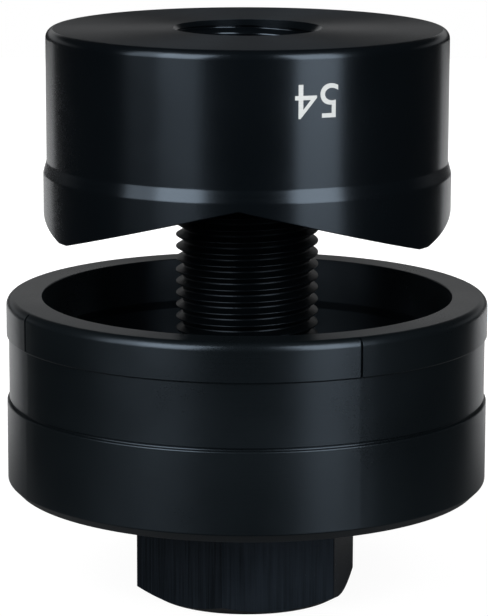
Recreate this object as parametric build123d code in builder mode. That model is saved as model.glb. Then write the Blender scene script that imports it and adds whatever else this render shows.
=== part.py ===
"""Screw-drawn knockout punch for round holes in sheet metal.

Millimetres, +Z up. The origin is on the tool's axis, at the underside of the
bolt's hexagon head, on which the tool stands. From the bottom up the axis
carries the head, a thrust ball bearing, the die and the punch.
"""

from math import cos, pi, radians, sin, sqrt, tan
import os

from build123d import *

# Draw bolt: a fine thread, three quarters of an inch, 16 threads to the inch
thread_major = 19.05
thread_pitch = 25.4 / 16
thread_play = 0.05
head_flats = 27.0
head_height = 13.05
head_chamfer_angle = 30.0
head_chamfer_inset = 0.7
head_turn = 18.7
bolt_length = 60.5
plain_length = 16.0
bolt_end_chamfer = 1.4
underhead_fillet = 0.4

# Thrust ball bearing between the head and the die
bearing_height = 10.0
ball_diameter = 4.762
ball_spacing = 1.3
race_shoulder = 1.369
race_depth = 0.9
race_clearance = 0.1
shaft_washer_play = 0.475
housing_washer_play = 0.975
washer_edge_chamfer = 0.6
bearing_side_clearance = 0.3
bearing_seat_fit = 0.05
cage_clearance = 0.38
cage_inset = 0.95
pocket_clearance = 0.12

# Punch
hole_diameter = 54.2
punch_height = 27.2
tooth_count = 3
tooth_rise = 7.05
tooth_tip_flat = 0.25
land_above_valley = 1.05
land_taper_height = 1.6
body_relief = 0.45
punch_top_fillet = 1.2
punch_hole_chamfer = 0.9
punch_turn = -92.3

# Die
shear_clearance = 0.35
die_wall = 4.75
web_thickness = 4.8
cup_depth = 13.0
bearing_recess = 8.1
bolt_clearance = 0.3
cutting_depth = 6.0
slug_relief = 0.4
slug_relief_height = 1.2
cup_fillet = 1.6
rim_fillet = 1.1
base_chamfer = 1.2
upper_band = 5.1
middle_band = 8.45
band_step = 0.3
band_line_width = 0.35
band_line_depth = 0.35
base_hole_chamfer = 0.8
mark_count = 4
mark_width = 0.4
mark_depth = 0.35
mark_turn = 26.6

# How far the punch's teeth stand above the die's rim as the tool is shown
tooth_gap = 8.6

# Heights along the axis
bearing_seat = head_height + bearing_height
die_base = bearing_seat - bearing_recess
cup_floor = bearing_seat + web_thickness
rim = cup_floor + cup_depth
tip = rim + tooth_gap
punch_top = tip + punch_height
valley = tip + tooth_rise
land_top = valley + land_above_valley
bolt_end = head_height + bolt_length
plain_end = head_height + plain_length

# Radii
thread_radius = thread_major / 2
pitch_radius = thread_radius - 0.375 * thread_pitch * sqrt(3) / 2
land_radius = hole_diameter / 2
body_radius = land_radius - body_relief
die_bore = land_radius + shear_clearance
die_radius = die_bore + die_wall
shaft_washer_bore = thread_radius + shaft_washer_play
housing_washer_bore = thread_radius + housing_washer_play
ball_radius = ball_diameter / 2
ball_circle = shaft_washer_bore + race_shoulder + ball_radius
bearing_radius = ball_circle + ball_radius + race_shoulder

os.makedirs("parts", exist_ok=True)

# Draw bolt: a turned shank and a hexagon head with its lower corners chamfered.
# The thread is a plain cylinder at its pitch diameter.
bolt_thread_radius = pitch_radius - thread_play / 2
head_corner = head_flats / sqrt(3)
head_face_radius = head_flats / 2 - head_chamfer_inset
head_chamfer_rise = (head_corner - head_face_radius) * tan(radians(head_chamfer_angle))

with BuildPart() as draw_bolt:
    with BuildSketch():
        RegularPolygon(head_corner, 6, rotation=head_turn)
    extrude(amount=head_height)
    with BuildSketch(Plane.XZ):
        with BuildLine():
            Polyline(
                (0, 0),
                (head_face_radius, 0),
                (head_corner, head_chamfer_rise),
                (head_corner, head_height),
                (0, head_height),
                close=True,
            )
        make_face()
    revolve(axis=Axis.Z, mode=Mode.INTERSECT)
    with BuildSketch(Plane.XY.offset(head_height)):
        Circle(thread_radius)
    extrude(amount=plain_length)
    with BuildSketch(Plane.XY.offset(plain_end)):
        Circle(bolt_thread_radius)
    extrude(amount=bolt_end - plain_end)
    chamfer(draw_bolt.edges().group_by(Axis.Z)[-1], bolt_end_chamfer)
    shank_foot = draw_bolt.edges().filter_by(GeomType.CIRCLE).filter_by_position(
        Axis.Z, head_height - 0.01, head_height + 0.01
    )
    fillet(shank_foot, underhead_fillet)
draw_bolt.part.label = "draw_bolt"
export_step(draw_bolt.part, "parts/draw_bolt.step")

# Thrust bearing: two grooved washers, a flat cage with round pockets, and balls.
# The washers are equally thick, and the balls sit midway between them.
washer_gap = ball_diameter - 2 * race_depth
washer_thickness = (bearing_height - washer_gap) / 2
shaft_washer_radius = bearing_radius + bearing_seat_fit - bearing_side_clearance
ball_height = head_height + bearing_height / 2
ball_count = int(2 * pi * ball_circle / (ball_diameter + ball_spacing))
cage_thickness = washer_gap - 2 * cage_clearance

washer_sizes = (
    ("shaft_washer", shaft_washer_bore, shaft_washer_radius, head_height),
    ("housing_washer", housing_washer_bore, bearing_radius, bearing_seat - washer_thickness),
)

for washer_name, washer_bore, washer_radius, washer_base in washer_sizes:
    washer_top = washer_base + washer_thickness
    with BuildPart() as washer:
        with BuildSketch(Plane.XZ):
            with BuildLine():
                Polyline(
                    (washer_bore, washer_base),
                    (washer_radius - washer_edge_chamfer, washer_base),
                    (washer_radius, washer_base + washer_edge_chamfer),
                    (washer_radius, washer_top - washer_edge_chamfer),
                    (washer_radius - washer_edge_chamfer, washer_top),
                    (washer_bore, washer_top),
                    close=True,
                )
            make_face()
            with Locations((ball_circle, ball_height)):
                Circle(ball_radius + race_clearance, mode=Mode.SUBTRACT)
        revolve(axis=Axis.Z)
    washer.part.label = washer_name
    export_step(washer.part, f"parts/{washer_name}.step")

with BuildPart() as ball_cage:
    with BuildSketch(Plane.XY.offset(ball_height - cage_thickness / 2)):
        Circle(bearing_radius - cage_inset)
        Circle(shaft_washer_bore + cage_inset, mode=Mode.SUBTRACT)
        with PolarLocations(ball_circle, ball_count):
            Circle(ball_radius + pocket_clearance, mode=Mode.SUBTRACT)
    extrude(amount=cage_thickness)
ball_cage.part.label = "ball_cage"
export_step(ball_cage.part, "parts/ball_cage.step")

for ball_number in range(ball_count):
    ball_angle = radians(360 / ball_count * ball_number)
    with BuildPart() as ball:
        with Locations((ball_circle * cos(ball_angle), ball_circle * sin(ball_angle), ball_height)):
            Sphere(ball_radius)
    ball.part.label = f"ball_{ball_number + 1:02d}"
    export_step(ball.part, f"parts/{ball.part.label}.step")

# Die: a cup with a cutting rim above its web and the bearing's seat below it
bearing_pocket = bearing_radius + bearing_seat_fit
bolt_hole = thread_radius + bolt_clearance
band_line_1 = rim - upper_band
band_line_2 = band_line_1 - middle_band
cutting_end = rim - cutting_depth
relief_top = cutting_end - slug_relief_height
cup_corner_radius = min(cup_fillet, 0.9 * (relief_top - cup_floor))

with BuildPart() as die:
    with BuildSketch(Plane.XZ):
        with BuildLine():
            Polyline(
                (bolt_hole, bearing_seat),
                (bearing_pocket, bearing_seat),
                (bearing_pocket, die_base + base_hole_chamfer),
                (bearing_pocket + base_hole_chamfer, die_base),
                (die_radius - base_chamfer, die_base),
                (die_radius, die_base + base_chamfer),
                (die_radius, band_line_2 - band_line_width),
                (die_radius - band_step - band_line_depth, band_line_2 - band_line_width),
                (die_radius - band_step - band_line_depth, band_line_2),
                (die_radius - band_step, band_line_2),
                (die_radius - band_step, band_line_1),
                (die_radius, band_line_1),
                (die_radius, rim),
                (die_bore, rim),
                (die_bore, cutting_end),
                (die_bore + slug_relief, relief_top),
                (die_bore + slug_relief, cup_floor),
                (bolt_hole, cup_floor),
                close=True,
            )
        make_face()
    revolve(axis=Axis.Z)
    cup_corner = die.edges().filter_by(GeomType.CIRCLE).filter_by_position(
        Axis.Z, cup_floor - 0.01, cup_floor + 0.01
    )
    fillet(cup_corner.sort_by(SortBy.RADIUS)[-1], cup_corner_radius)
    rim_edges = die.edges().group_by(Axis.Z)[-1]
    fillet(rim_edges.sort_by(SortBy.RADIUS)[-1], rim_fillet)
    with BuildSketch(Plane.XY.offset(band_line_1)):
        with PolarLocations(die_radius, mark_count, start_angle=mark_turn):
            Rectangle(2 * mark_depth, mark_width)
    extrude(amount=upper_band, mode=Mode.SUBTRACT)
die.part.label = "die"
export_step(die.part, "parts/die.step")

# Punch: a turned body with a threaded hole, cut below by three crossing V grooves.
# Each groove runs right across the face and rises to one side, so that it leaves
# a valley in the land there and the ridge of a tooth opposite.
punch_hole = pitch_radius + thread_play / 2
punch_mouth = punch_hole + punch_hole_chamfer
groove_centre = tip + tooth_rise / 2
ridge_slope = tooth_rise / (2 * land_radius)
flank_slope = ridge_slope * tan(radians(180 / tooth_count))
groove_reach = 2 * land_radius
groove_drop = groove_reach * flank_slope

with BuildPart() as punch:
    with BuildSketch(Plane.XZ):
        with BuildLine():
            Polyline(
                (punch_hole, tip + tooth_tip_flat),
                (land_radius, tip + tooth_tip_flat),
                (land_radius, land_top),
                (body_radius, land_top + land_taper_height),
                (body_radius, punch_top),
                (punch_mouth, punch_top),
                (punch_hole, punch_top - punch_hole_chamfer),
                close=True,
            )
        make_face()
    revolve(axis=Axis.Z)
    top_edges = punch.edges().group_by(Axis.Z)[-1]
    fillet(top_edges.sort_by(SortBy.RADIUS)[-1], punch_top_fillet)
    for tooth_number in range(tooth_count):
        valley_angle = radians(punch_turn + 360 / tooth_count * tooth_number)
        outward = Vector(cos(valley_angle), sin(valley_angle), 0)
        groove_plane = Plane(
            origin=(0, 0, groove_centre), x_dir=outward.rotate(Axis.Z, 90), z_dir=outward
        )
        with BuildSketch(groove_plane):
            Polygon(
                (0, 0), (groove_reach, -groove_drop), (-groove_reach, -groove_drop), align=None
            )
        extrude(
            amount=groove_reach,
            dir=(outward.X, outward.Y, ridge_slope),
            both=True,
            mode=Mode.SUBTRACT,
        )
    with BuildSketch(Plane.XZ):
        with BuildLine():
            Polyline(
                (0, groove_centre - punch_mouth),
                (punch_mouth + punch_mouth, groove_centre - punch_mouth),
                (0, groove_centre + punch_mouth),
                close=True,
            )
        make_face()
    revolve(axis=Axis.Z, mode=Mode.SUBTRACT)
punch.part.label = "punch"
export_step(punch.part, "parts/punch.step")
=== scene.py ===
"""Looks of a screw-drawn knockout punch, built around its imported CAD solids.

Each piece is modelled in millimetres on the tool's axis and scaled to metres
when it is finished, so that it lies exactly where its CAD solid is.
"""

import logging
from dataclasses import dataclass, field
from enum import Enum
from math import atan2, ceil, cos, degrees, hypot, pi, radians, sin, sqrt, tan

import bmesh
import bpy
from mathutils import Matrix, Vector

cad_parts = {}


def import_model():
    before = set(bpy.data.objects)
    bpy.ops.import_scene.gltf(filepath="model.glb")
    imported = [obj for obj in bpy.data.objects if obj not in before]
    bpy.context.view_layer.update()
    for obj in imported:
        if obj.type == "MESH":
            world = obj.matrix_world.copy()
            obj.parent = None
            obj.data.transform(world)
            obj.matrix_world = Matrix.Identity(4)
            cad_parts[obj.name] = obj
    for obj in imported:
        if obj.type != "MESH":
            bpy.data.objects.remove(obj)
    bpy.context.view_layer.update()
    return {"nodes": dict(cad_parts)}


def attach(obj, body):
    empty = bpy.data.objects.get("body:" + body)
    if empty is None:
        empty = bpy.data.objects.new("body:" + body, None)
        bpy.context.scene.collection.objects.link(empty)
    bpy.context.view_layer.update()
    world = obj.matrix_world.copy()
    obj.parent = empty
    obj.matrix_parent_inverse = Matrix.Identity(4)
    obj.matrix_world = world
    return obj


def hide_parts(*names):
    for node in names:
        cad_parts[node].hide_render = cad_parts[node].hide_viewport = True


LOG = logging.getLogger("knockout_punch")
MILLIMETRE = 0.001
TURN_SEGMENTS = 192
ARC_STEPS = 10
SHARP_ANGLE = radians(20)
WELD_DISTANCE = 1e-4
ZONE_BLEND = 0.04
GRAINS_PER_MILLIMETRE = 4.0
DENTS_PER_MILLIMETRE = 0.8
HALF_TURN = 180.0

Outline = list[tuple[float, float]]
Colour = tuple[float, float, float]


class Combine(Enum):
    """Ways to combine two solids."""

    JOIN = "UNION"
    CUT = "DIFFERENCE"
    COMMON = "INTERSECT"


class Lay(Enum):
    """Directions of the tool marks that a surface shows."""

    TURNED = "turned"
    DRAWN = "drawn"


class Wire:
    """A number in a node tree, on which Python's operators add Math nodes."""

    def __init__(self, graph: "Graph", source: bpy.types.NodeSocket) -> None:
        """Wrap a socket of a graph."""
        self.graph = graph
        self.source = source

    def math(self, operation: str, *values: object) -> "Wire":
        """Add one Math node.

        Args:
            operation: The Math node's operation.
            values: Its inputs, wires or plain numbers.

        Returns:
            The node's result.
        """
        made = self.graph.node("ShaderNodeMath", {"operation": operation}, dict(enumerate(values)))
        return Wire(self.graph, made.outputs[0])

    def __add__(self, other: object) -> "Wire":
        """Sum."""
        return self.math("ADD", self, other)

    __radd__ = __add__

    def __sub__(self, other: object) -> "Wire":
        """Difference."""
        return self.math("SUBTRACT", self, other)

    def __rsub__(self, other: object) -> "Wire":
        """Difference from a number."""
        return self.math("SUBTRACT", other, self)

    def __mul__(self, other: object) -> "Wire":
        """Product."""
        return self.math("MULTIPLY", self, other)

    __rmul__ = __mul__

    def __truediv__(self, other: object) -> "Wire":
        """Quotient."""
        return self.math("DIVIDE", self, other)

    def __pow__(self, other: object) -> "Wire":
        """Power."""
        return self.math("POWER", self, other)

    def highest(self, other: object) -> "Wire":
        """The higher of two values."""
        return self.math("MAXIMUM", self, other)

    def ease(self, start: float, end: float, low: float = 0.0, high: float = 1.0) -> "Wire":
        """Pass smoothly from one value to another.

        Args:
            start: Value of this wire at which the result is low.
            end: Value of this wire at which the result is high.
            low: Result at the start.
            high: Result at the end.

        Returns:
            The eased value, held beyond both ends.
        """
        made = self.graph.node(
            "ShaderNodeMapRange",
            {"interpolation_type": "SMOOTHSTEP"},
            {"Value": self, "From Min": start, "From Max": end, "To Min": low, "To Max": high},
        )
        return Wire(self.graph, made.outputs["Result"])


class Graph:
    """The node tree of a material or a world."""

    def __init__(self, tree: bpy.types.NodeTree) -> None:
        """Take over a tree and empty it."""
        self.tree = tree
        tree.nodes.clear()

    def node(
        self,
        kind: str,
        settings: dict[str, object] | None = None,
        sockets: dict[int | str, object] | None = None,
    ) -> bpy.types.Node:
        """Add a node.

        Args:
            kind: The node's type.
            settings: What to set on the node first.
            sockets: Values, wires or sockets for its inputs, by name or number.

        Returns:
            The new node.
        """
        made = self.tree.nodes.new(kind)
        for name, value in (settings or {}).items():
            setattr(made, name, value)
        for key, value in (sockets or {}).items():
            source = value.source if isinstance(value, Wire) else value
            if isinstance(source, bpy.types.NodeSocket):
                self.tree.links.new(source, made.inputs[key])
            else:
                made.inputs[key].default_value = source
        return made

    def wire(self, kind: str, output: int | str, *args: dict) -> Wire:
        """Add a node and return one of its outputs as a number."""
        return Wire(self, self.node(kind, *args).outputs[output])

    def split(self, vector: bpy.types.NodeSocket, scale: float = 1.0) -> tuple[Wire, Wire, Wire]:
        """Split a vector into three numbers, each scaled."""
        parts = self.node("ShaderNodeSeparateXYZ", None, {0: vector})
        x, y, z = (Wire(self, socket) * scale for socket in parts.outputs)
        return x, y, z

    def blend(self, factor: Wire, first: Colour, second: Colour) -> bpy.types.NodeSocket:
        """Mix two colours by a factor."""
        sockets = {0: factor, 6: (*first, 1.0), 7: (*second, 1.0)}
        return self.node("ShaderNodeMix", {"data_type": "RGBA"}, sockets).outputs[2]

    def grey(self, level: Wire) -> bpy.types.NodeSocket:
        """Make a grey of a number."""
        return self.node("ShaderNodeCombineColor", None, {0: level, 1: level, 2: level}).outputs[0]

    def line_noise(self, place: Wire, per_millimetre: float, detail: float = 1.0) -> Wire:
        """Noise along one number, such as a height or a radius in millimetres."""
        sockets = {"W": place, "Scale": per_millimetre, "Detail": detail}
        return self.wire("ShaderNodeTexNoise", "Fac", {"noise_dimensions": "1D"}, sockets)

    def cloud_noise(self, place: object, scale: float, detail: float = 3.0) -> Wire:
        """Noise in space, from a vector socket."""
        sockets = {"Vector": place, "Scale": scale, "Detail": detail}
        return self.wire("ShaderNodeTexNoise", "Fac", None, sockets)

    def stretch(self, place: object, scale: tuple[float, float, float]) -> bpy.types.NodeSocket:
        """Scale a vector by axis."""
        sockets = {0: place, 1: scale}
        return self.node("ShaderNodeVectorMath", {"operation": "MULTIPLY"}, sockets).outputs[0]


@dataclass(frozen=True)
class MetalFinish:
    """A metal surface with its tool marks.

    Attributes:
        name: The material's name.
        tone: Base colour where the surface is darkest.
        bloom: Base colour where it is palest.
        roughness: Middle roughness.
        roughness_spread: How far the roughness varies over the surface.
        metallic: 1 for bare metal, and 0 for an oxide skin.
        specular: Specular level of an oxide skin.
        gloss: Colour of an oxide skin's gloss.
        lay: Direction of the tool marks.
        mark_depth: Depth of the tool marks in millimetres.
        anisotropy: How much the gloss spreads across the tool marks.
        grain_depth: Depth of the surface's grain in millimetres.
        dent_depth: Depth of its coarser unevenness in millimetres.
        upper_start: Height in millimetres above which the surface is rougher.
        upper_roughness: How much rougher it is there.
        upper_darkening: How much of the pale shades it loses there.
        marks_per_millimetre: How close the tool marks are.
        cloud_scale: Patches in each metre.
    """

    name: str
    tone: Colour
    bloom: Colour
    roughness: float
    roughness_spread: float = 0.06
    metallic: float = 0.0
    specular: float = 0.5
    gloss: Colour = (1.0, 1.0, 1.0)
    lay: Lay = Lay.TURNED
    mark_depth: float = 0.002
    anisotropy: float = 0.0
    grain_depth: float = 0.0005
    dent_depth: float = 0.0
    upper_start: float = 100.0
    upper_roughness: float = 0.0
    upper_darkening: float = 0.0
    marks_per_millimetre: float = 6.0
    cloud_scale: float = 60.0

    def material(self) -> bpy.types.Material:
        """Build the material.

        Returns:
            A node material on Object coordinates.
        """
        made = bpy.data.materials.new(self.name)
        made.use_nodes = True
        graph = Graph(made.node_tree)
        place = graph.node("ShaderNodeTexCoord").outputs["Object"]
        patches = graph.cloud_noise(place, self.cloud_scale)
        grain = graph.cloud_noise(place, GRAINS_PER_MILLIMETRE / MILLIMETRE, 1.0)
        dents = graph.cloud_noise(place, DENTS_PER_MILLIMETRE / MILLIMETRE, 2.0)
        x, y, z = graph.split(place, 1 / MILLIMETRE)
        upper = z.ease(self.upper_start - ZONE_BLEND, self.upper_start)
        marks = self.tool_marks(graph, place, (x * x + y * y) ** 0.5, z)
        height = self.mark_depth * marks + self.grain_depth * grain + self.dent_depth * dents
        bump = graph.node(
            "ShaderNodeBump",
            None,
            {"Strength": 1.0, "Distance": MILLIMETRE, "Height": height},
        )
        kept = 1 - self.upper_darkening * upper
        shade = (0.5 * patches + 0.5 * marks).ease(0.2, 0.8) * kept
        rough = (patches - 0.5) * self.roughness_spread * 2 + (grain - 0.5) * self.roughness_spread
        skin = graph.node(
            "ShaderNodeBsdfPrincipled",
            None,
            {
                "Base Color": graph.blend(shade, self.tone, self.bloom),
                "Roughness": rough + self.roughness + upper * self.upper_roughness,
                "Metallic": self.metallic,
                "Specular IOR Level": self.specular,
                "Specular Tint": (*self.gloss, 1.0),
                "Anisotropic": self.anisotropy,
                "Anisotropic Rotation": 0.25,
                "Normal": bump.outputs[0],
            },
        )
        graph.node("ShaderNodeOutputMaterial", None, {"Surface": skin.outputs[0]})
        return made

    def tool_marks(
        self, graph: Graph, place: bpy.types.NodeSocket, radius: Wire, height: Wire
    ) -> Wire:
        """Height of the tool marks, from 0 to 1, at a place in the material."""
        if self.lay is Lay.TURNED:
            walls = graph.line_noise(height, self.marks_per_millimetre)
            return 0.5 * (walls + graph.line_noise(radius, self.marks_per_millimetre))
        across = self.marks_per_millimetre / MILLIMETRE
        drawn = graph.stretch(place, (across, across, across / 40))
        return graph.cloud_noise(drawn, 1.0, 2.0)


def arc(radius: float, height: float, size: float, start: float, end: float) -> Outline:
    """Corners of an outline along a fillet.

    Args:
        radius: Distance of the fillet's centre from the axis.
        height: Height of the fillet's centre.
        size: The fillet's radius.
        start: Angle of the first corner in degrees, 0 outwards and 90 upwards.
        end: Angle of the last corner.

    Returns:
        The corners, ends included.
    """
    angles = [radians(start + (end - start) * n / ARC_STEPS) for n in range(ARC_STEPS + 1)]
    return [(radius + size * cos(a), height + size * sin(a)) for a in angles]


class Workpiece:
    """A solid in millimetres on the tool's axis, and the operations that shape it."""

    def __init__(self, mesh: bmesh.types.BMesh | None = None) -> None:
        """Start from a mesh, or from nothing."""
        self.mesh = mesh or bmesh.new()

    @classmethod
    def turned(cls, outline: Outline, start: float = 0.0) -> "Workpiece":
        """Turn an outline once round the axis.

        Args:
            outline: Radius and height of each corner, the last joined to the first.
            start: Angle in degrees at which the first column of vertices stands.

        Returns:
            The closed solid.
        """
        piece = cls()
        c, s = cos(radians(start)), sin(radians(start))
        corners = [piece.mesh.verts.new((r * c, r * s, z)) for r, z in outline]
        edges = [piece.mesh.edges.new(pair) for pair in zip(corners, corners[1:] + corners[:1])]
        on_axis = [e for e in edges if all(hypot(v.co.x, v.co.y) < WELD_DISTANCE for v in e.verts)]
        bmesh.ops.delete(piece.mesh, geom=on_axis, context="EDGES")
        bmesh.ops.spin(
            piece.mesh,
            geom=piece.mesh.verts[:] + piece.mesh.edges[:],
            cent=(0, 0, 0),
            axis=(0, 0, 1),
            dvec=(0, 0, 0),
            angle=2 * pi,
            steps=TURN_SEGMENTS,
            use_merge=True,
            use_duplicate=False,
        )
        return piece.welded()

    def welded(self) -> "Workpiece":
        """Merge doubled vertices and face every wall outwards."""
        bmesh.ops.remove_doubles(self.mesh, verts=self.mesh.verts, dist=WELD_DISTANCE)
        bmesh.ops.recalc_face_normals(self.mesh, faces=self.mesh.faces)
        return self

    def softened(self, width: float, above: float = 10.0, segments: int = 2) -> "Workpiece":
        """Round the sharp edges.

        Args:
            width: Width of the rounding in millimetres.
            above: Angle between faces, in degrees, above which an edge is rounded.
            segments: Facets across the rounding.

        Returns:
            This piece.
        """
        sharp = [
            e for e in self.mesh.edges if e.is_manifold and e.calc_face_angle() > radians(above)
        ]
        bmesh.ops.bevel(
            self.mesh,
            geom=sharp,
            offset=width,
            offset_type="OFFSET",
            affect="EDGES",
            segments=segments,
            profile=0.5,
            material=-1,
            clamp_overlap=True,
        )
        return self.welded()

    def combined(self, other: "Workpiece", how: Combine) -> "Workpiece":
        """Combine with another solid.

        Args:
            other: The other solid.
            how: Whether it is added, cut out, or the shape they share is kept.

        Returns:
            The new solid.
        """
        target, tool = (bpy.data.objects.new("solid", p.as_mesh("solid")) for p in (self, other))
        for solid in (target, tool):
            bpy.context.scene.collection.objects.link(solid)
        modifier = target.modifiers.new("combine", "BOOLEAN")
        modifier.operation = how.value
        modifier.solver = "MANIFOLD"
        modifier.object = tool
        graph = bpy.context.evaluated_depsgraph_get()
        result = bmesh.new()
        result.from_object(target, graph)
        for solid in (target, tool):
            data = solid.data
            bpy.data.objects.remove(solid)
            bpy.data.meshes.remove(data)
        return Workpiece(result)

    def as_mesh(self, name: str) -> bpy.types.Mesh:
        """Copy into a mesh datablock, in millimetres."""
        data = bpy.data.meshes.new(name)
        self.mesh.to_mesh(data)
        return data

    def finished(self, name: str, body: str, finish: MetalFinish, slot: str) -> bpy.types.Object:
        """Make the piece a smooth-shaded object that rides on a CAD body.

        Args:
            name: The piece's name.
            body: The CAD body that it moves with.
            finish: Its surface.
            slot: The record's material slot. Not used.

        Returns:
            The object, in metres.
        """
        bmesh.ops.scale(self.mesh, vec=(MILLIMETRE,) * 3, verts=self.mesh.verts)
        data = self.as_mesh(name)
        data.shade_smooth()
        data.set_sharp_from_angle(angle=SHARP_ANGLE)
        data.materials.append(finish.material())
        made = bpy.data.objects.new(name, data)
        bpy.context.scene.collection.objects.link(made)
        evening = made.modifiers.new("even_normals", "WEIGHTED_NORMAL")
        evening.weight = 100
        evening.keep_sharp = True
        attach(made, body)
        triangles = sum(len(p.vertices) - 2 for p in data.polygons)
        open_edges = sum(not e.is_manifold for e in self.mesh.edges)
        LOG.info("%s: %d triangles, %d open edges, on %s", name, triangles, open_edges, body)
        return made


@dataclass(frozen=True)
class ScrewThread:
    """The right-hand thread that the draw bolt and the punch share.

    Attributes:
        major: Outside radius of the bolt's thread in millimetres.
        pitch: Rise for each turn in millimetres.
        crest_height: Height of a crest above the tool's foot, on the +X side.
        steps: Columns of vertices in each turn.
        play: Radial play between the two threads in millimetres.
    """

    major: float = 9.52
    pitch: float = 25.4 / 16
    crest_height: float = 0.59
    steps: int = 96
    play: float = 0.09

    def outline(self, widen: float) -> Outline:
        """Radius at each share of one pitch above a crest, from crest to crest."""
        crest, root = self.major + widen, self.major - 0.97 + widen
        upper = [(0.0, crest), (0.045, crest - 0.02), (0.08, crest - 0.08)]
        lower = [(0.37, root + 0.13), (0.42, root + 0.04), (0.5, root)]
        rising = upper + lower
        return rising + [(1 - share, radius) for share, radius in rising[-2::-1]]

    def rod(self, low: float, high: float, widen: float = 0.0) -> Workpiece:
        """Make a threaded rod.

        Args:
            low: Height of its lower end in millimetres.
            high: Height of its upper end in millimetres.
            widen: How much wider it is than the bolt's thread.

        Returns:
            The rod, closed by a flat face at each end.
        """
        turns_below = ceil((self.crest_height - low) / self.pitch) + 1
        start = self.crest_height - turns_below * self.pitch
        turns = ceil((high - start) / self.pitch) + 1
        piece = Workpiece()
        column = [
            piece.mesh.verts.new((radius, 0, start + share * self.pitch))
            for share, radius in self.outline(widen)
        ]
        edges = [piece.mesh.edges.new(pair) for pair in zip(column, column[1:])]
        bmesh.ops.spin(
            piece.mesh,
            geom=column + edges,
            cent=(0, 0, 0),
            axis=(0, 0, 1),
            dvec=(0, 0, self.pitch / self.steps),
            angle=2 * pi,
            steps=self.steps,
            use_merge=False,
            use_duplicate=False,
        )
        turn = piece.mesh.verts[:] + piece.mesh.edges[:] + piece.mesh.faces[:]
        for number in range(1, turns):
            copy = bmesh.ops.duplicate(piece.mesh, geom=turn)
            raised = [g for g in copy["geom"] if isinstance(g, bmesh.types.BMVert)]
            bmesh.ops.translate(piece.mesh, vec=(0, 0, number * self.pitch), verts=raised)
        piece.welded()
        for height, side in ((low, -1), (high, 1)):
            everything = piece.mesh.verts[:] + piece.mesh.edges[:] + piece.mesh.faces[:]
            cut = bmesh.ops.bisect_plane(
                piece.mesh,
                geom=everything,
                dist=1e-6,
                plane_co=(0, 0, height),
                plane_no=(0, 0, side),
                clear_outer=True,
            )
            rim = [g for g in cut["geom_cut"] if isinstance(g, bmesh.types.BMEdge)]
            bmesh.ops.edgeloop_fill(piece.mesh, edges=rim)
        return piece.welded()


@dataclass
class Punch:
    """The punch: a turned body with three cutting teeth and a threaded hole.

    Lengths are in millimetres, heights above the tool's foot.
    """

    thread: ScrewThread
    finish: MetalFinish
    land_radius: float = 27.1
    body_radius: float = 26.65
    tip: float = 49.45
    tooth_rise: float = 7.05
    tip_flat: float = 0.25
    land_top: float = 57.55
    taper_top: float = 59.15
    top: float = 76.65
    top_fillet: float = 1.2
    mouth: float = 9.93
    teeth: int = 3
    turn: float = -92.3
    edge_rounding: float = 0.14
    tool_reach: float = 6.0

    @property
    def groove_centre(self) -> float:
        """Height at which the three grooves cross on the axis."""
        return self.tip + self.tooth_rise / 2

    def face_height(self, x: float, y: float) -> float:
        """Height of the cutting face, the middle one of the grooves' planes."""
        slope = self.tooth_rise / self.land_radius
        valleys = [radians(self.turn + 360 / self.teeth * n) for n in range(self.teeth)]
        planes = sorted(-slope * (x * cos(a) + y * sin(a)) for a in valleys)
        return self.groove_centre + planes[self.teeth // 2]

    def blank(self) -> Workpiece:
        """Turn the solid body and lift its underside to the cutting face."""
        shoulder_r, shoulder_z = self.body_radius - self.top_fillet, self.top - self.top_fillet
        body = Workpiece.turned(
            [
                (0, self.groove_centre),
                (self.land_radius, self.tip),
                (self.land_radius, self.land_top),
                (self.body_radius, self.taper_top),
                *arc(shoulder_r, shoulder_z, self.top_fillet, 0, 90),
                (0, self.top),
            ],
            start=self.turn,
        )
        for corner in body.mesh.verts:
            if abs(corner.co.z - self.tip) < WELD_DISTANCE:
                corner.co.z = self.face_height(corner.co.x, corner.co.y)
        cut = bmesh.ops.bisect_plane(
            body.mesh,
            geom=body.mesh.verts[:] + body.mesh.edges[:] + body.mesh.faces[:],
            dist=1e-6,
            plane_co=(0, 0, self.tip + self.tip_flat),
            plane_no=(0, 0, -1),
            clear_outer=True,
        )
        rim = [g for g in cut["geom_cut"] if isinstance(g, bmesh.types.BMEdge)]
        bmesh.ops.holes_fill(body.mesh, edges=rim, sides=0)
        return body.softened(self.edge_rounding)

    def build(self) -> bpy.types.Object:
        """Model the punch and fit it in place of its CAD solid."""
        reach = self.tool_reach
        tap = self.thread.rod(self.tip - reach + 1, self.top + reach - 1, self.thread.play)
        upper = Workpiece.turned(
            [
                (0, self.top - self.mouth),
                (self.mouth + reach, self.top + reach),
                (0, self.top + reach),
            ]
        )
        lower = Workpiece.turned(
            [
                (0, self.groove_centre - reach),
                (self.mouth + reach, self.groove_centre - reach),
                (0, self.groove_centre + self.mouth),
            ]
        )
        body = self.blank()
        for tool in (tap, upper, lower):
            body = body.combined(tool, Combine.CUT)
        made = body.finished("punch_body", "punch_body", self.finish, "punch_steel")
        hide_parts("punch")
        return made


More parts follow.
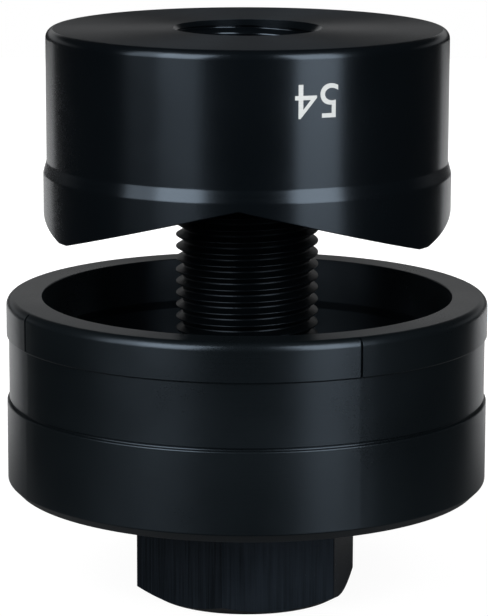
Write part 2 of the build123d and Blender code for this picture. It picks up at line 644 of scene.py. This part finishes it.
@dataclass
class SizeMark:
    """The hole's size in whole millimetres, etched upside down on the punch's wall.

    Lengths are in millimetres.
    """

    finish: MetalFinish
    number: str = "54"
    azimuth: float = -70.9
    height: float = 70.5
    size: float = 6.2
    slice_width: float = 0.3
    wall: float = Punch.body_radius
    sunk: float = 0.05
    proud: float = 0.012

    def drawn(self) -> Workpiece:
        """Draw the number in Blender's own font, turned upside down."""
        curve = bpy.data.curves.new("number", "FONT")
        curve.body, curve.size = self.number, self.size
        curve.align_x, curve.align_y = "CENTER", "CENTER"
        text = bpy.data.objects.new("number", curve)
        bpy.context.scene.collection.objects.link(text)
        graph = bpy.context.evaluated_depsgraph_get()
        data = bpy.data.meshes.new_from_object(text.evaluated_get(graph))
        piece = Workpiece()
        piece.mesh.from_mesh(data)
        bpy.data.objects.remove(text)
        bpy.data.curves.remove(curve)
        bpy.data.meshes.remove(data)
        bmesh.ops.scale(piece.mesh, vec=(-1, -1, 1), verts=piece.mesh.verts)
        return piece.welded()

    def build(self) -> bpy.types.Object:
        """Model the number and wrap it round the punch's wall."""
        piece = self.drawn()
        half = max(abs(v.co.x) for v in piece.mesh.verts)
        for number in range(1, ceil(2 * half / self.slice_width)):
            bmesh.ops.bisect_plane(
                piece.mesh,
                geom=piece.mesh.verts[:] + piece.mesh.edges[:] + piece.mesh.faces[:],
                dist=1e-6,
                plane_co=(number * self.slice_width - half, 0, 0),
                plane_no=(1, 0, 0),
            )
        lifted = bmesh.ops.extrude_face_region(piece.mesh, geom=piece.mesh.faces[:])
        raised = [g for g in lifted["geom"] if isinstance(g, bmesh.types.BMVert)]
        bmesh.ops.translate(piece.mesh, vec=(0, 0, self.sunk + self.proud), verts=raised)
        for corner in piece.mesh.verts:
            across, up, out = corner.co
            angle = radians(self.azimuth) + across / self.wall
            reach = self.wall - self.sunk + out
            corner.co = (reach * cos(angle), reach * sin(angle), self.height + up)
        return piece.welded().finished("size_mark", "punch_body", self.finish, "punch_steel")


@dataclass
class Die:
    """The die: a cup with a cutting rim above its web and the bearing's seat below it.

    Lengths are in millimetres, heights above the tool's foot.
    """

    finish: MetalFinish
    radius: float = 32.2
    bore: float = 27.45
    base: float = 14.95
    seat: float = 23.05
    floor: float = 27.85
    rim: float = 40.85
    bolt_hole: float = 9.825
    pocket: float = 17.55
    pocket_chamfer: float = 0.8
    base_chamfer: float = 1.2
    rim_fillet: float = 1.1
    band_line_1: float = 35.75
    band_line_2: float = 27.3
    band_step: float = 0.3
    line_width: float = 0.35
    line_depth: float = 0.35
    cutting_end: float = 34.85
    relief_top: float = 33.65
    relief: float = 0.4
    floor_fillet: float = 1.6
    edge_rounding: float = 0.12
    mark_count: int = 4
    mark_turn: float = 26.6
    mark_width: float = 0.4
    mark_depth: float = 0.35

    def outline(self) -> Outline:
        """The die's section on one side of the axis."""
        wide, narrow = self.radius, self.radius - self.band_step
        slug_wall = self.bore + self.relief
        corner_r, corner_z = slug_wall - self.floor_fillet, self.floor + self.floor_fillet
        fillet = arc(corner_r, corner_z, self.floor_fillet, 0, -90)
        return [
            (self.bolt_hole, self.seat),
            (self.pocket, self.seat),
            (self.pocket, self.base + self.pocket_chamfer),
            (self.pocket + self.pocket_chamfer, self.base),
            (wide - self.base_chamfer, self.base),
            (wide, self.base + self.base_chamfer),
            (wide, self.band_line_2 - self.line_width),
            (narrow - self.line_depth, self.band_line_2 - self.line_width),
            (narrow - self.line_depth, self.band_line_2),
            (narrow, self.band_line_2),
            (narrow, self.band_line_1),
            (wide, self.band_line_1),
            *arc(wide - self.rim_fillet, self.rim - self.rim_fillet, self.rim_fillet, 0, 90),
            (self.bore, self.rim),
            (self.bore, self.cutting_end),
            (slug_wall, self.relief_top),
            *fillet,
            (self.bolt_hole, self.floor),
        ]

    def scribe_marks(self, body: Workpiece) -> None:
        """Sink the upright marks into the upper band, each in a narrowed column."""
        half = degrees(self.mark_width / 2 / self.radius)
        step = 360 / TURN_SEGMENTS
        spacing = 360 / self.mark_count
        for number in range(self.mark_count):
            middle = self.mark_turn + spacing * number
            for side in (-1, 1):
                beside = [
                    v
                    for v in body.mesh.verts
                    if abs(self.offset(v.co, middle) - side * step / 2) < step / 20
                ]
                turn = Matrix.Rotation(radians(side * (half - step / 2)), 3, "Z")
                bmesh.ops.rotate(body.mesh, verts=beside, cent=(0, 0, 0), matrix=turn)
        for number in range(self.mark_count):
            middle = self.mark_turn + spacing * number
            column = [
                f
                for f in body.mesh.faces
                if abs(self.offset(f.calc_center_median(), middle)) < half / 2
                and f.calc_center_median().z > self.band_line_1 + self.edge_rounding
                and f.calc_center_median().xy.length > self.radius - self.rim_fillet / 2
            ]
            deeper = bmesh.ops.extrude_face_region(body.mesh, geom=column)
            bmesh.ops.delete(body.mesh, geom=column, context="FACES")
            inward = Vector((-cos(radians(middle)), -sin(radians(middle)), 0)) * self.mark_depth
            floor = [g for g in deeper["geom"] if isinstance(g, bmesh.types.BMVert)]
            bmesh.ops.translate(body.mesh, vec=inward, verts=floor)
        body.welded()

    @staticmethod
    def offset(place: Vector, middle: float) -> float:
        """Angle in degrees by which a place lies beyond a direction."""
        return (degrees(atan2(place.y, place.x)) - middle + HALF_TURN) % (2 * HALF_TURN) - HALF_TURN

    def build(self) -> bpy.types.Object:
        """Model the die and fit it in place of its CAD solid."""
        start = self.mark_turn + HALF_TURN / TURN_SEGMENTS
        body = Workpiece.turned(self.outline(), start).softened(self.edge_rounding)
        self.scribe_marks(body)
        made = body.finished("die_cup", "die_body", self.finish, "die_steel")
        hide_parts("die")
        return made


@dataclass
class DrawBolt:
    """The draw bolt: a hexagon head, a plain shank and a threaded length.

    Lengths are in millimetres, heights above the tool's foot.
    """

    thread: ScrewThread
    finish: MetalFinish
    flats: float = 27.0
    head_height: float = 13.05
    head_turn: float = 18.7
    chamfer_radius: float = 12.8
    chamfer_angle: float = 30.0
    shank_radius: float = 9.525
    plain_end: float = 29.05
    run_out: float = 1.6
    end: float = 73.55
    end_chamfer: float = 1.4
    neck_fillet: float = 0.4
    edge_rounding: float = 0.25

    def head(self) -> Workpiece:
        """Model the head: a rounded hexagon prism inside the chamfer's cone."""
        prism = Workpiece()
        corner = self.flats / sqrt(3)
        made = bmesh.ops.create_circle(prism.mesh, cap_ends=True, segments=6, radius=corner)
        turn = Matrix.Rotation(self.corner_turn(made["verts"][0].co), 3, "Z")
        bmesh.ops.rotate(prism.mesh, verts=prism.mesh.verts, cent=(0, 0, 0), matrix=turn)
        top = bmesh.ops.extrude_face_region(prism.mesh, geom=prism.mesh.faces[:])
        raised = [g for g in top["geom"] if isinstance(g, bmesh.types.BMVert)]
        bmesh.ops.translate(prism.mesh, vec=(0, 0, self.head_height), verts=raised)
        prism.welded().softened(self.edge_rounding, segments=3)
        outer = corner + 1
        rise = (outer - self.chamfer_radius) * tan(radians(self.chamfer_angle))
        high = self.head_height + 1
        cone = Workpiece.turned(
            [(0, 0.01), (self.chamfer_radius, 0.01), (outer, rise + 0.01), (outer, high), (0, high)]
        )
        return prism.combined(cone, Combine.COMMON)

    def corner_turn(self, corner: Vector) -> float:
        """Angle in radians that brings a corner of the circle to the head's place."""
        return radians(self.head_turn) - atan2(corner.y, corner.x)

    def stem(self) -> Workpiece:
        """Turn the shank, from inside the head to the cone where the thread runs out."""
        foot = self.head_height
        centre_r, centre_z = self.shank_radius + self.neck_fillet, foot + self.neck_fillet
        return Workpiece.turned(
            [
                (0, foot - 3),
                (centre_r, foot - 3),
                *arc(centre_r, centre_z, self.neck_fillet, 270, 180),
                (self.shank_radius, self.plain_end),
                (self.shank_radius - 0.6 * self.run_out, self.plain_end + self.run_out),
                (0, self.plain_end + self.run_out),
            ]
        )

    def build(self) -> bpy.types.Object:
        """Model the bolt and fit it in place of its CAD solid."""
        below = self.plain_end - self.run_out
        rod = self.thread.rod(below, self.end + 2)
        wide = self.shank_radius + 1
        tip = self.shank_radius - self.end_chamfer - 0.6
        limit = Workpiece.turned(
            [
                (0, below - 1),
                (wide, below - 1),
                (wide, self.end - (wide - tip)),
                (tip, self.end),
                (0, self.end),
            ]
        )
        body = rod.combined(limit, Combine.COMMON)
        for part in (self.stem(), self.head()):
            body = body.combined(part, Combine.JOIN)
        made = body.finished("hex_draw_bolt", "bolt_body", self.finish, "bolt_steel")
        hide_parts("draw_bolt")
        return made


@dataclass
class ThrustBearing:
    """The ball bearing between the head and the die, shown by its CAD solids."""

    washer_finish: MetalFinish
    cage_finish: MetalFinish
    ball_finish: MetalFinish
    balls: int = 14

    def dress(self, nodes: dict[str, bpy.types.Object]) -> None:
        """Give each CAD solid of the bearing its finish."""
        balls = [f"ball_{n + 1:02d}" for n in range(self.balls)]
        groups = (
            (["shaft_washer", "housing_washer"], self.washer_finish),
            (["ball_cage"], self.cage_finish),
            (balls, self.ball_finish),
        )
        for names, finish in groups:
            surface = finish.material()
            for name in names:
                nodes[name].data.materials.clear()
                nodes[name].data.materials.append(surface)
                LOG.info("%s: CAD solid, %s", name, finish.name)


@dataclass(frozen=True)
class SoftBox:
    """A rectangular studio lamp that faces the object.

    Attributes:
        name: The lamp's name.
        azimuth: Direction from the object in degrees, 0 towards the camera, 90 to +X.
        elevation: Angle of its middle above the horizon in degrees.
        width: Width in metres.
        height: Height in metres.
        radiance: Brightness of its face.
        distance: Distance from the object in metres.
    """

    name: str
    azimuth: float
    elevation: float
    width: float
    height: float
    radiance: float
    distance: float = 1.2

    def build(self, target: Vector) -> None:
        """Hang the lamp."""
        data = bpy.data.lights.new(self.name, "AREA")
        data.shape = "RECTANGLE"
        data.size, data.size_y = self.width, self.height
        data.energy = self.radiance * pi * self.width * self.height
        lamp = bpy.data.objects.new(self.name, data)
        a, e = radians(self.azimuth), radians(self.elevation)
        away = Vector((sin(a) * cos(e), -cos(a) * cos(e), sin(e)))
        lamp.location = target + away * self.distance
        lamp.rotation_euler = away.to_track_quat("Z", "Y").to_euler()
        lamp.visible_camera = False
        bpy.context.scene.collection.objects.link(lamp)
        LOG.info("%s: lamp", self.name)


@dataclass
class Studio:
    """Floor, surroundings, lamps and camera.

    Lengths are in metres.
    """

    lamps: tuple[SoftBox, ...]
    middle: Vector = field(default_factory=lambda: Vector((0, 0, 0.05)))
    floor_front: float = -0.03
    floor_back: float = 0.6
    floor_front_side: float = 0.05
    floor_back_side: float = 0.45
    # Painted shade: the floor's tone in front of and under the object, which shows in reflections
    # and bounced light.
    floor_front_painted_shade: float = 0.12
    floor_back_tone: float = 0.85
    floor_fade: tuple[float, float] = (0.02, 0.14)
    room_level: float = 0.012
    backdrop_level: float = 0.34
    ambient: float = 0.35
    camera_distance: float = 0.41755
    camera_height: float = 0.12281
    camera_pitch: float = 11.363
    camera_yaw: float = 0.053
    camera_roll: float = 0.15
    camera_lens: float = 185.49
    sensor: float = 36.0

    def lay_floor(self) -> None:
        """Lay the pale floor, which shows white but keeps the object's shadow."""
        mesh = bmesh.new()
        made = bmesh.ops.create_grid(mesh, x_segments=1, y_segments=1, size=0.5)
        depth = self.floor_back - self.floor_front
        bmesh.ops.scale(mesh, vec=(2 * self.floor_front_side, depth, 1), verts=made["verts"])
        back_edge = [v for v in made["verts"] if v.co.y > 0]
        widen = self.floor_back_side / self.floor_front_side
        bmesh.ops.scale(mesh, vec=(widen, 1, 1), verts=back_edge)
        shift = (0, (self.floor_back + self.floor_front) / 2, 0)
        bmesh.ops.translate(mesh, vec=shift, verts=made["verts"])
        data = bpy.data.meshes.new("floor")
        mesh.to_mesh(data)
        floor = bpy.data.objects.new("floor", data)
        bpy.context.scene.collection.objects.link(floor)
        surface = bpy.data.materials.new("pale_floor")
        surface.use_nodes = True
        graph = Graph(surface.node_tree)
        camera = graph.wire("ShaderNodeLightPath", "Is Camera Ray")
        _, depth_back, _ = graph.split(graph.node("ShaderNodeTexCoord").outputs["Object"])
        # The tone is painted shade: dark in front of and under the object, pale behind it. The
        # camera's glow keeps the floor white to the eye.
        tone = depth_back.ease(*self.floor_fade, self.floor_front_painted_shade, self.floor_back_tone)
        pale = graph.node("ShaderNodeBsdfDiffuse", None, {"Color": graph.grey(tone)})
        glow = graph.node("ShaderNodeEmission", None, {"Strength": camera * (1 - 0.55 * tone)})
        mixed = graph.node("ShaderNodeAddShader", None, {0: pale.outputs[0], 1: glow.outputs[0]})
        graph.node("ShaderNodeOutputMaterial", None, {"Surface": mixed.outputs[0]})
        data.materials.append(surface)

    def surround(self) -> None:
        """Set the surroundings: white to the eye, and a dim room in reflections."""
        world = bpy.data.worlds.new("studio")
        bpy.context.scene.world = world
        world.use_nodes = True
        graph = Graph(world.node_tree)
        path = graph.node("ShaderNodeLightPath")
        camera, glossy, clear = (
            Wire(graph, path.outputs[name])
            for name in ("Is Camera Ray", "Is Glossy Ray", "Is Transmission Ray")
        )
        x, y, z = graph.split(graph.node("ShaderNodeTexCoord").outputs["Generated"])
        behind = (y / (x * x + y * y + 1e-6) ** 0.5).ease(0.2, 1.0)
        band = z.ease(0.05, 0.1) * z.ease(0.34, 0.24)
        reflected = self.room_level + self.backdrop_level * behind * band
        mirror = glossy.highest(clear)
        level = camera + (1 - camera) * (mirror * reflected + (1 - mirror) * self.ambient)
        back = graph.node("ShaderNodeBackground", None, {"Color": (1, 1, 1, 1), "Strength": level})
        graph.node("ShaderNodeOutputWorld", None, {"Surface": back.outputs[0]})

    def set_camera(self) -> None:
        """Stand the camera at the photograph's viewing angle."""
        data = bpy.data.cameras.new("camera")
        data.sensor_width = self.sensor
        data.lens = self.camera_lens
        camera = bpy.data.objects.new("camera", data)
        camera.location = (0, -self.camera_distance, self.camera_height)
        level = Matrix.Rotation(radians(self.camera_yaw), 3, "Z")
        tilt = Matrix.Rotation(radians(90 - self.camera_pitch), 3, "X")
        roll = Matrix.Rotation(radians(self.camera_roll), 3, "Z")
        camera.rotation_euler = (level @ tilt @ roll).to_euler()
        data.clip_start, data.clip_end = 0.01, 20
        bpy.context.scene.collection.objects.link(camera)
        bpy.context.scene.camera = camera
        bpy.context.scene.view_settings.view_transform = "Standard"

    def build(self) -> None:
        """Set the whole studio."""
        self.lay_floor()
        self.surround()
        for lamp in self.lamps:
            lamp.build(self.middle)
        self.set_camera()


def main() -> None:
    """Build the tool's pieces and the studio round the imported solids."""
    logging.basicConfig(level=logging.INFO, format="%(message)s")
    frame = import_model()
    thread = ScrewThread()
    black = {
        "tone": (0.001, 0.0016, 0.0022),
        "bloom": (0.0016, 0.0025, 0.0034),
        "gloss": (0.66, 0.82, 1.0),
    }
    turned = MetalFinish(
        "blackened_punch",
        roughness=0.245,
        anisotropy=0.7,
        upper_start=Punch.top - 0.02,
        upper_roughness=0.21,
        **black,
    )
    satin = MetalFinish(
        "blackened_die",
        tone=(0.0016, 0.0024, 0.003),
        bloom=(0.003, 0.0045, 0.0055),
        gloss=black["gloss"],
        roughness=0.3,
        anisotropy=0.5,
        mark_depth=0.006,
    )
    Punch(thread, turned).build()
    etched = MetalFinish("etched_number", (0.4, 0.42, 0.42), (0.55, 0.57, 0.57), 0.5)
    SizeMark(etched).build()
    Die(satin).build()
    drawn = MetalFinish(
        "blackened_bolt",
        tone=black["tone"],
        bloom=(0.011, 0.015, 0.0205),
        gloss=black["gloss"],
        specular=0.18,
        roughness=0.24,
        lay=Lay.DRAWN,
        mark_depth=0.02,
        grain_depth=0.004,
        dent_depth=0.02,
        marks_per_millimetre=3.0,
        upper_start=DrawBolt.plain_end,
        upper_roughness=0.1,
        upper_darkening=1.0,
    )
    DrawBolt(thread, drawn).build()
    ThrustBearing(
        MetalFinish("ground_steel", (0.42, 0.43, 0.44), (0.5, 0.51, 0.52), 0.24, metallic=1.0),
        MetalFinish("turned_brass", (0.5, 0.36, 0.14), (0.64, 0.48, 0.22), 0.3, metallic=1.0),
        MetalFinish("polished_steel", (0.6, 0.61, 0.63), (0.66, 0.67, 0.69), 0.1, metallic=1.0),
    ).dress(frame["nodes"])
    Studio(
        (
            SoftBox("right_box", 39.8, 22.8, 0.6, 1.28, 5.9),
            SoftBox("left_box", -38.5, 26.7, 0.56, 1.1, 6.3),
            SoftBox("left_wing", -62, 26.7, 0.42, 1.1, 2.6),
        )
    ).build()


if __name__ == "__main__":
    main()
